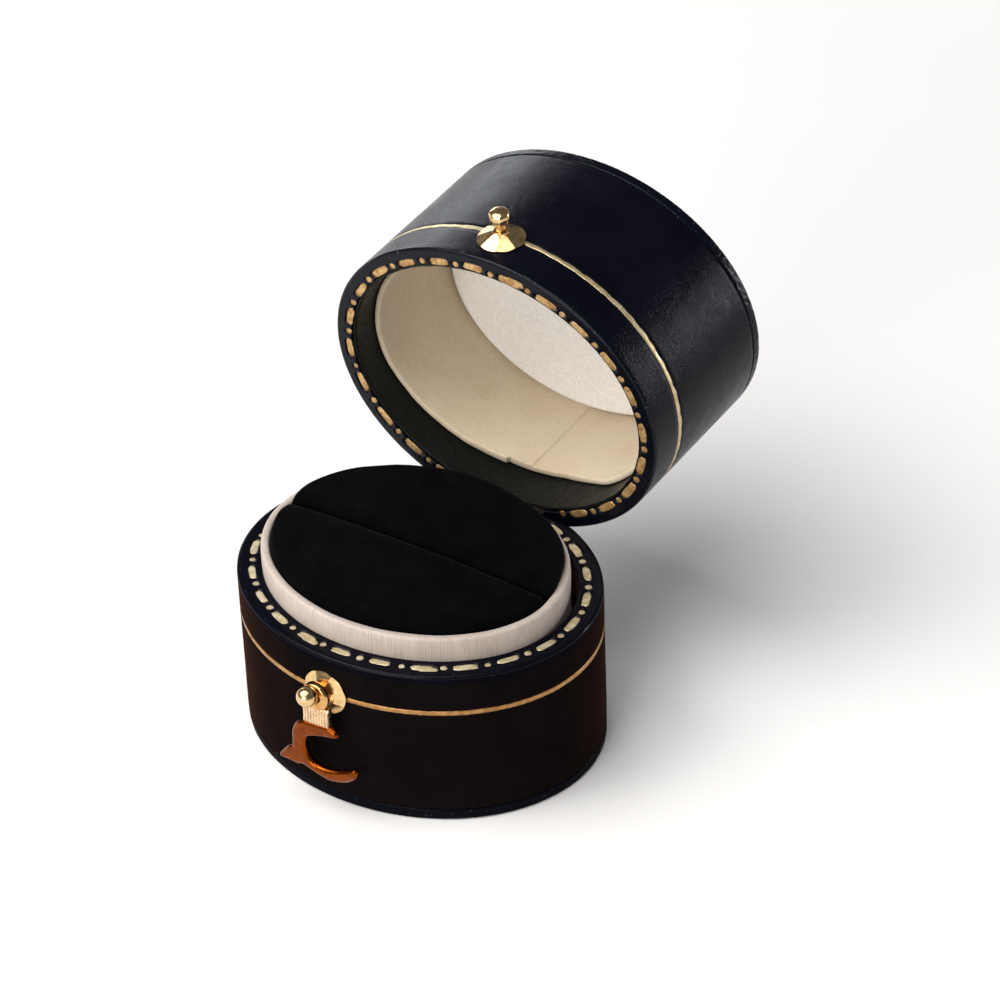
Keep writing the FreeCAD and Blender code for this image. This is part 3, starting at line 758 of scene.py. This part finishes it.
def collar():
    """Satin-covered collar, its top edge a little uneven and its cloth lapped at the back."""
    top, low = collar_high.z / MM, collar_low.z / MM
    inset = COLLAR_INSET / MM
    thick, round_r, cloth = 0.80, 0.30, 0.13
    inner, shoulder, inner_end = inset + thick, top - round_r, top - 4.0
    points = [(inset, low)] + straight((inset, low), (inset, shoulder), 0.35)
    points += arc(inset + round_r, shoulder, round_r, 0, 90, 6)
    points += arc(inner - round_r, shoulder, round_r, 90, 180, 6)
    points += straight((inner, shoulder), (inner, inner_end), 0.5)
    foot, head = (inner - cloth, inner_end), (inner - cloth, top - 0.2)
    outer_head, outer_foot = (inset + cloth, top - 0.2), (inset + cloth, low)
    points += [(inner, inner_end), foot] + straight(foot, head, 0.35) + [head]
    points += [outer_head] + straight(outer_head, outer_foot, 0.35) + [outer_foot]

    def shape(angle, around, profile):
        z = profile[:, 1]
        puff, = grid_field(*oval_place(angle, profile[:, 0]), z * MM, (5.0, 41))
        edge = smooth_step(top - 1.2, top, z)
        rise = 0.05 * np.cos(3 * angle + 0.6) + 0.04 * np.cos(7 * angle + 2.0) + 0.03 * np.cos(17 * angle)
        belly = 0.05 * np.sin(np.clip((z - BASE_RIM / MM) / 2.5, 0, 1) * math.pi)
        lean = LEAN * rear_right(angle) * smooth_step(LEAN_FOOT, LEAN_FULL, z)
        return np.where(profile[:, 0] < inset + 0.1, 0.02 * puff - belly, 0) + lean, edge * (0.45 * rise - 0.06)

    made = swept("collar_cloth", points, shape)
    finished(made, "base", COLLAR_SATIN, "cream_satin", "collar_satin", "collar_card")


PAD_OVERHANG = 0.32     # how far the rear half bulges out over the collar


def rounded(distance, reach, depth):
    """How far a rounded edge has dropped at a distance from it."""
    return depth * (1 - math.sqrt(max(0, 1 - (1 - distance / reach) ** 2))) if distance < reach else 0.0


def half_pad(name, side, node):
    """One velvet half pad: full at its edge, rolled over at the slit and tucked in at the collar."""
    low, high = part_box(node)
    half_x, half_y = ((half - PAD_INSET) / MM * 0.998 for half in (HALF_WIDTH, HALF_DEPTH))
    slit = min(abs(low.y), abs(high.y)) / MM
    top, bottom = high.z / MM, low.z / MM + 0.1
    fall = 0.52 if side < 0 else 0.16
    drops = (0.6, 2.0, 6.0)
    xs = half_x * np.sin(np.linspace(-1, 1, 160) * math.pi / 2)
    across = np.concatenate([np.linspace(0, 0.16, 22), np.linspace(0.16, 0.88, 44)[1:],
                             np.linspace(0.88, 1, 16)[1:]])
    vertices = []
    for x in xs:
        span = max(half_y * math.sqrt(max(0.0, 1 - (x / half_x) ** 2)) - slit, 0.0)
        column = []
        for share in across:
            y = slit + span * share
            z = top - fall * math.hypot(x / half_x, y / half_y) ** 2
            z -= rounded(span * share, 1.5, 0.75)
            z -= rounded(min(span * (1 - share), half_x - abs(x)), 0.75, 0.62)
            column.append((y, z))
        slit_z, wall_z = column[0][1], column[-1][1]
        column += [(slit + span, wall_z - drop) for drop in drops] + [(slit + span, bottom), (slit, bottom)]
        column += [(slit, slit_z - drop) for drop in reversed(drops)]
        vertices += [(x * MM, side * y * MM, z * MM) for y, z in column]
    made = merged(new_mesh(name, vertices, grid_faces(len(xs), len(column), False)))
    places = [v.co for v in made.data.vertices]
    swell = field(places, 6.0, 51 + side)
    dimples = field(places, 2.2, 61 + side)
    for vertex, large, small in zip(made.data.vertices, swell, dimples):
        place = vertex.co
        if place.z > (top - 3) * MM:
            place.z -= (0.06 * abs(large) + 0.03 * abs(small)) * MM
        radial = math.hypot(place.x / half_x, place.y / half_y) / MM
        rear = smooth_step(0.10, 0.55, place.y / half_y / MM)
        above = smooth_step(collar_high.z + 0.05 * MM, collar_high.z + 0.35 * MM, place.z)
        out = PAD_OVERHANG * rear * above * smooth_step(0.90, 0.99, radial)
        angle = math.atan2(place.y / half_y, place.x / half_x)
        high_up = smooth_step(LEAN_FOOT, LEAN_FULL, place.z / MM)
        out -= PAD_LEAN * rear_right(angle) * high_up * smooth_step(0.45, 0.98, radial)
        place.x *= 1 + float(out) / half_x
        place.y *= 1 + float(out) / half_y
    finished(made, "base", VELVET, "black_velvet", node)


BAND_HALF_WIDTH = 15.87


def inner_band():
    """Black band inside the lid's rim, creased by the bend."""
    near, far = band_low.z / MM, band_high.z / MM
    outer, inner = LID_RIM_WIDTH + 0.02, HALF_WIDTH / MM - BAND_HALF_WIDTH
    points = [(outer, near), (inner - 0.1, near), (inner, near + 0.1)]
    points += straight((inner, near + 0.1), (inner, far), 0.12) + [(inner, far), (outer, far)]

    def shape(angle, around, profile):
        inset, z = profile[:, 0], profile[:, 1]
        x, y = oval_place(angle, inset)
        folds, = grid_field(x, y, z * MM * 0.5 + x * 0.2, (1.8, 71, 3))
        ridge = np.clip(0.12 - np.abs(folds), 0, 0.12) / 0.12
        free = (inset > outer + 0.05) & (z > near + 0.05)
        return np.where(free, 0.035 * folds - 0.05 * ridge, 0) - 0.01, 0 * folds

    made = cut(swept("lid_band_skin", points, shape), hinge_notch())
    made.data.transform(OPEN)
    finished(made, "lid", BAND_LEATHER, "black_leather", "lid_inner_band")


SEAM = 89.0             # degrees round the oval, from +X, where the lid lining's ends lap
LINER_EDGE = ((0, 3.5), (30, 3.5), (51, 3.6), (62, 4.3), (75, 4.85), (88, 4.75), (98.5, 4.75), (99.3, 4.38),
              (115, 3.95), (134, 3.75), (150, 3.45), (165, 3.25), (190, 3.3), (230, 3.45), (300, 3.6), (360, 3.5))
# (degrees, how deep in the lid the lining's free edge lies there, in millimetres)


def liner():
    """Satin side lining of the lid over its card, its free edge cut unevenly and its ends lapped at the back."""
    edge, end = LID_RIM / MM, LINER_END / MM
    outer = LINER_INSET / MM + 0.02
    inner, lip, free_height = outer + 0.60, 0.06, 2.0
    depth_at, depth = zip(*LINER_EDGE)
    points = [(outer, free_height), (outer, lip), (outer + lip, 0.0), (inner - lip, 0.0), (inner - 0.03, 0.03),
              (inner, lip)]
    points += straight((inner, lip), (inner, free_height), 0.25) + [(inner, free_height)]
    free = len(points)
    start = edge + free_height + 3.6
    points += straight((inner, start), (inner, end), 0.30)
    points += [(inner, end), (inner - 0.18, end), (inner - 0.18, start)]

    def shape(angle, around, profile):
        inset, z = profile[:, 0], profile[:, 1]
        degrees = np.degrees(angle)
        waver = 0.04 * np.cos(9 * angle + 1.1) + 0.02 * np.cos(17 * angle) + 0.01 * np.cos(41 * angle + 2)
        free_edge = edge + np.interp(degrees, depth_at, depth) + waver
        stretched = free_edge + np.clip(z / free_height, 0, 1) * (start - free_edge)
        height = np.where(np.arange(len(profile)) < free, stretched, z)
        past_seam = degrees - SEAM
        lapped = smooth_step(-0.2, 0.3, past_seam) * smooth_step(75.0, 12.0, past_seam)
        puff, pucker = grid_field(*oval_place(angle, inset), height * MM, (4.5, 81), (1.4, 83, 3))
        pucker = pucker * smooth_step(edge + 7.0, edge + 4.0, height)
        inside = inset > outer + 0.3
        return np.where(inside, 0.17 * lapped + 0.03 * puff + 0.008 * pucker - 0.08, 0), height - z

    made = swept("lid_liner_cloth", points, shape, turn=OPEN)
    finished(made, "lid", LINER_SATIN, "cream_satin", "lid_liner_satin", "lid_liner_card")


CEILING_CROWN = 0.35    # room for the rise of the ceiling's middle


def ceiling():
    """Wadded ivory ceiling of the lid, rolled under at its edge."""
    face, back = ceiling_low.z / MM + CEILING_CROWN, ceiling_high.z / MM
    roll, rings, back_rings = 0.9, 30, 6
    inset = CEILING_INSET / MM + 0.02
    inner = inset + roll
    points = [(inset, back - 0.1)] + straight((inset, back - 0.1), (inset, face + roll), 0.3)
    points += arc(inner, face + roll, roll, 0, 90, 9, -1)
    points += [(inner, face, 1 - k / rings) for k in range(1, rings)]
    points += [(inner, face, 0.0), (inner, back - 0.05, 0.0)]
    points += [(inner, back - 0.05, k / back_rings) for k in range(1, back_rings + 1)]

    def shape(angle, around, profile):
        inset_mm, z, scale = profile.T
        puff, = grid_field(*oval_place(angle, inset_mm, scale), z * MM, (5.0, 91))
        bulge = 0.34 * (1 - scale ** 2)
        return 0 * puff, np.where(np.abs(z - face) < 0.02, -bulge + 0.05 * np.abs(puff), 0)

    made = merged(swept("lid_ceiling_cloth", points, shape, turn=OPEN))
    finished(made, "lid", CEILING_CLOTH, "ivory_cloth", "lid_ceiling_pad")


# ---- brass ----

FACETS = 8


def rosette(name, height, turn=None):
    """Round rosette cut into flat facets, with a turned seat at its centre."""
    radius, top_radius = 2.27, 0.90
    foot, top = 0.14, 0.85
    foot_radius, flat_radius = radius * 0.97, top_radius * 0.93
    per_facet = 12
    count = FACETS * per_facet
    steps = np.linspace(1.0, top_radius / radius, 14)
    turned = math.pi / FACETS
    rise = (top - foot) / (foot_radius - flat_radius)
    seat = [(0.80, top + 0.04), (0.78, top + 0.12), (0.70, top + 0.16), (0.52, top + 0.15), (0.52, 0.0)]
    vertices = []
    for number in range(count):
        angle = 2 * math.pi * number / count + turned
        facet = (number // per_facet + 0.5) * 2 * math.pi / FACETS + turned
        facing = math.cos(math.pi / FACETS) if number % per_facet == 0 else math.cos(angle - facet)
        slope = [(radius * share, top - rise * (radius * share * facing - flat_radius)) for share in steps]
        column = [(foot_radius, 0.0), (radius, 0.06)] + slope + seat
        vertices += [spun(distance, max(out, 0.0), angle, height) for distance, out in column]
    return sharpen(new_mesh(name, vertices, grid_faces(count, len(column)), turn=turn), 13)


def round_profile(points, radius, count=5):
    """Round the corners of a (radius, out) outline, leaving its two ends."""
    result = [points[0]]
    for before, corner, after in zip(points, points[1:], points[2:]):
        before, corner, after = (np.array(p, float) for p in (before, corner, after))
        towards, away = before - corner, after - corner
        reach = min(radius, np.linalg.norm(towards) / 2.2, np.linalg.norm(away) / 2.2)
        start = corner + towards / np.linalg.norm(towards) * reach
        end = corner + away / np.linalg.norm(away) * reach
        for share in np.linspace(0, 1, count):
            result.append(tuple((1 - share) ** 2 * start + 2 * share * (1 - share) * corner + share ** 2 * end))
    result.append(points[-1])
    return result


def ringed(points, count):
    """Rings of count points round the y axis, from (y, z, radius) in metres."""
    turns = [2 * math.pi * k / count for k in range(count)]
    return [(r * math.cos(a), y, z + r * math.sin(a)) for y, z, r in points for a in turns]


def capped(rows, count):
    """Faces of a closed tube whose rows of count points end in flat caps."""
    caps = [tuple(range(count))[::-1], tuple((rows - 1) * count + k for k in range(count))]
    return grid_faces(rows, count, False) + caps


def bent_pin():
    """The base stud: a straight pin whose ball head is bent up a little."""
    low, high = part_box("base_ball_pin")
    ball_r = (high.x - low.x) / 2
    ball = Vector((0, low.y + ball_r, high.z - ball_r))
    neck_r = 0.49 * MM
    rings = [(FRONT + out * MM, HOOK_PIN.z + up * MM, neck_r)
             for out, up in ((1.9, 0.0), (-1.7, 0.0), (-1.95, 0.05), (-2.2, 0.30))]
    rings.append((ball.y + 0.1 * MM, ball.z - 0.1 * MM, neck_r * 0.8))
    count, ball_count = 40, 72
    pin = merged(new_mesh("base_stud_ball", ringed(rings, count), capped(len(rings), count)))
    bows = [(ball.y - ball_r * math.cos(a), ball.z, ball_r * math.sin(a))
            for a in np.linspace(0.002, math.pi - 0.002, 40)]
    head = merged(new_mesh("head", ringed(bows, ball_count), grid_faces(len(bows), ball_count, False)))
    return cut(pin, head, operation="UNION")


def knob():
    """The lid stud's head: a chunky knob filed into facets, on a short neck."""
    top = (FRONT - knob_low.y) / MM
    sides, per_side = 7, 8
    count = sides * per_side
    radius = (knob_high.x - knob_low.x) / 2 / MM * 1.08
    head = ((0.84, 1.98), (0.99, 2.12), (1.02, 2.50), (1.0, 2.76), (0.88, 3.00), (0.66, top - 0.07),
            (0.50, top - 0.02), (0.002, top))
    outline = [(0.002, -1.7), (0.49, -1.7), (0.49, 1.96)] + [(r * radius, out) for r, out in head]
    profile = round_profile(outline, 0.05)
    vertices = []
    for number in range(count):
        angle = 2 * math.pi * number / count
        middle = (number // per_side + 0.5) * 2 * math.pi / sides
        for r, out in profile:
            filed = smooth_step(1.98, 2.15, out) * smooth_step(0.3, 0.6, r)
            flat = r * math.cos(math.pi / sides) / math.cos(angle - middle) * 1.03
            vertices.append(spun(r + filed * 0.8 * (min(flat, r) - r), out, angle, LID_STUD))
    return sharpen(merged(new_mesh("lid_stud_knob", vertices, grid_faces(count, len(profile)), turn=OPEN)), 24)


def studs():
    """Both studs with their rosettes."""
    base_low, base_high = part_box("base_rosette")
    made = rosette("base_stud_rosette", (base_low.z + base_high.z) / 2)
    finished(made, "base", BRASS, "polished_brass", "base_rosette")
    finished(rosette("lid_stud_rosette", LID_STUD, OPEN), "lid", BRASS, "polished_brass", "lid_rosette")
    finished(bent_pin(), "base", BRASS, "polished_brass", "base_ball_pin")
    finished(knob(), "lid", BRASS, "polished_brass", "lid_knob_stud")


def hook_curve(points, count=8):
    """Smooth points through a list of corner points, as a Catmull-Rom run."""
    points = [np.array(p, float) for p in points]
    padded = [2 * points[0] - points[1]] + points + [2 * points[-1] - points[-2]]
    result = []
    for a, b, c, d in zip(padded, padded[1:], padded[2:], padded[3:]):
        for share in np.linspace(0, 1, count, endpoint=False):
            result.append(tuple(0.5 * (2 * b + (c - a) * share + (2 * a - 5 * b + 4 * c - d) * share ** 2
                                       + (3 * b - a - 3 * c + d) * share ** 3)))
    result.append(tuple(points[-1]))
    return result


def remeshed(made, voxel, smoothing):
    """The object as one closed, softened skin; its sizes are still in millimetres here."""
    mesh, name = baked(made), made.name
    bpy.data.objects.remove(made)
    skin = merged(add_object(name, mesh))
    remesh = skin.modifiers.new("remesh", "REMESH")
    remesh.mode = "VOXEL"
    remesh.voxel_size = voxel
    remesh.use_smooth_shade = True
    soften = skin.modifiers.new("soften", "SMOOTH")
    soften.factor = 0.5
    soften.iterations = smoothing
    result = baked(skin)
    skin.modifiers.clear()
    skin.data = result
    return skin


def hook():
    """Brass hook: an eye, a ribbed neck and a C-shaped claw with a thumb spur."""
    runs = [
        [(-1.45, -3.30), (-2.35, -3.80), (-2.92, -4.85), (-3.02, -6.00), (-3.05, -6.80)],
        [(-3.05, -6.80), (-3.70, -7.30), (-4.55, -8.35), (-4.62, -8.66), (-4.40, -8.78), (-3.55, -8.76),
         (-2.65, -8.86)],
        [(-2.65, -8.86), (-1.85, -8.68), (-0.95, -8.94), (0.20, -9.24), (1.30, -9.33), (3.05, -8.76),
         (3.95, -8.00), (4.18, -7.35), (3.88, -7.00), (3.15, -7.38), (1.60, -7.98), (0.10, -8.18), (-0.80, -7.90),
         (-1.38, -7.10), (-1.50, -6.20), (-1.30, -5.38), (-0.80, -4.92), (0.60, -4.42), (1.85, -4.12),
         (2.30, -3.86), (2.12, -3.36), (1.65, -3.14)],
        [(1.65, -3.14), (1.25, -3.00), (-1.45, -3.30)],
    ]
    outline = []
    for run in runs[:-1]:
        outline += hook_curve(run)[:-1]
    outline += runs[-1][:-1]
    low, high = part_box("catch_hook")
    back, front = high.y, low.y
    middle = (back + front) / 2
    bevel = 0.40
    curve = bpy.data.curves.new("claw", "CURVE")
    curve.dimensions = "2D"
    curve.fill_mode = "BOTH"
    curve.extrude = (back - front) / 2 / MM - bevel
    curve.bevel_depth = bevel
    curve.bevel_resolution = 7
    curve.offset = -bevel
    spline = curve.splines.new("POLY")
    spline.points.add(len(outline) - 1)
    for point, (x, z) in zip(spline.points, outline):
        point.co = (x, z, 0, 1)
    spline.use_cyclic_u = True
    claw = remeshed(add_object("hook_claw", curve), 0.05, 5)
    upright = Matrix.Translation((0, middle, HOOK_PIN.z)) @ Matrix.Rotation(math.pi / 2, 4, "X")
    claw.data.transform(upright @ Matrix.Scale(MM, 4))
    finished(claw, "hook", HOOK_BRASS, "polished_brass", "catch_hook")
    eye_out = (FRONT - middle) / MM
    half = (back - front) / MM / 2
    ring = []
    for angle in np.linspace(0, 2 * math.pi, 40, endpoint=False):
        across, out = (math.copysign(abs(part) ** 0.62, part) for part in (math.cos(angle), math.sin(angle)))
        ring.append((1.00 + 0.44 * across, eye_out + half * out * 0.98))
    turns = 64
    eye = [spun(radius, out, 2 * math.pi * k / turns, HOOK_PIN.z) for k in range(turns) for radius, out in ring]
    finished(new_mesh("hook_eye", eye, grid_faces(turns, len(ring))), "hook", EYE_BRASS, "polished_brass")
    finished(hook_neck(middle, half), "hook", NECK_BRASS, "polished_brass")


def hook_neck(middle, half_mm):
    """The ribbed block between eye and claw: upright ribs that flare towards the claw."""
    ribs, per_rib = 9, 8
    columns = ribs * per_rib + 1
    rows = 14
    vertices = []
    for row in range(rows):
        share = row / (rows - 1)
        z = -1.15 - 2.10 * share
        left = -1.50 - 0.04 * share + 0.08 * math.sin(share * math.pi)
        right = 1.50 - 0.18 * share - 0.08 * math.sin(share * math.pi)
        slant = 0.16 - 0.10 * share
        soften = min(1.0, min(share, 1 - share) / 0.12)
        for face in (1, -1):
            span = range(columns) if face > 0 else range(columns - 1, -1, -1)
            for column in span:
                along = column / (columns - 1)
                x = left + (right - left) * along
                wave = abs(math.sin(math.pi * column / per_rib))
                edge = min(1.0, min(along, 1 - along) / 0.05)
                depth = half_mm * (0.62 + 0.30 * soften * math.sqrt(max(edge, 0)))
                depth += (0.20 * wave ** 0.6 - 0.16) * soften if face > 0 else 0
                height = z + slant * (along - 0.5) * 2
                vertices.append((x * MM, middle - face * depth * MM, HOOK_PIN.z + height * MM))
    return sharpen(merged(new_mesh("hook_neck", vertices, capped(rows, 2 * columns))), 60)


# ---- put it together ----

leathers()
collar()
half_pad("velvet_front", -1, "ring_pad_front")
half_pad("velvet_rear", 1, "ring_pad_rear")
inner_band()
liner()
ceiling()
studs()
hook()

KEPT = {
    CARD: ("base_bottom_board", "pad_board", "lid_top_board", "lid_ceiling_card"),
    # the wall cores get the near-black card: painted shade in the hinge gap
    SHADE_DARKENED_CARD: ("base_wall", "lid_wall"),    # their bevels show at the hinge
    BRASS: ("base_pin_washer", "lid_stud_washer", "hinge_leaf_base", "hinge_leaf_lid", "hinge_pin"),
}
for material, names in KEPT.items():
    for name in names:
        nodes[name].data.materials.clear()
        nodes[name].data.materials.append(material)


# ---- camera, floor and light ----

CAMERA_PLACE = Vector((0.17784, -0.23676, 0.23434))
CAMERA_AIM = Vector((0.00571, 0.00540, 0.02372))
CAMERA_ROLL = math.radians(-2.32)
CAMERA_LENS = 142.2


def facing(place, aim):
    """Where a camera or light stands and looks."""
    return Matrix.Translation(place) @ (aim - place).to_track_quat("-Z", "Y").to_matrix().to_4x4()


def camera():
    """Camera at the photograph's angle."""
    data = bpy.data.cameras.new("camera")
    data.lens = CAMERA_LENS
    data.sensor_width = 36.0
    data.clip_start = 0.01
    made = add_object("camera", data)
    made.matrix_world = facing(CAMERA_PLACE, CAMERA_AIM) @ Matrix.Rotation(CAMERA_ROLL, 4, "Z")
    bpy.context.scene.camera = made


def floor():
    """Plain pale floor under the box."""
    half = 1.5
    data = bpy.data.meshes.new("floor")
    data.from_pydata([(-half, -half, 0), (half, -half, 0), (half, half, 0), (-half, half, 0)], [], [(0, 1, 2, 3)])
    made = add_object("floor", data)
    m = Nodes("floor_paper")
    color = m.mix(m.noise(60.0, 2.0), (0.84, 0.83, 0.82), (0.88, 0.87, 0.86))
    made.data.materials.append(m.finish(color, 0.9, Specular_IOR_Level=0.2))


def softbox(name, towards, distance, width, height, power, color):
    """Rectangular area light, seen from the box in the direction towards, at that distance."""
    aim = Vector((0, 0, 0.02))
    data = bpy.data.lights.new(name, "AREA")
    data.shape = "RECTANGLE"
    data.size = width
    data.size_y = height
    data.energy = power
    data.color = color
    add_object(name, data).matrix_world = facing(aim + Vector(towards).normalized() * distance, aim)


def studio():
    """Soft studio light: boxes left, above and in front, a window behind left, a slim light behind right."""
    world = bpy.data.worlds.new("studio")
    world.use_nodes = True
    world.node_tree.nodes["Background"].inputs["Color"].default_value = (0.94, 0.96, 1.0, 1.0)
    world.node_tree.nodes["Background"].inputs["Strength"].default_value = 0.14
    bpy.context.scene.world = world
    softbox("key", (-0.50, -0.45, 0.74), 0.9, 0.60, 0.60, 5.2, (1.0, 0.985, 0.96))
    softbox("overhead", (-0.08, -0.35, 0.93), 0.9, 0.80, 0.80, 6.0, (1.0, 0.99, 0.98))
    softbox("window", (-0.72, 0.60, 0.20), 0.9, 0.40, 0.30, 1.9, (0.92, 0.95, 1.0))
    softbox("rim_light", (0.66, 0.75, 0.13), 0.8, 0.08, 0.30, 2.0, (0.97, 0.97, 1.0))
    softbox("front", (0.05, -0.94, 0.30), 0.9, 0.50, 0.40, 4.2, (1.0, 0.98, 0.95))
    bpy.context.scene.view_settings.view_transform = "Standard"


camera()
floor()
studio()
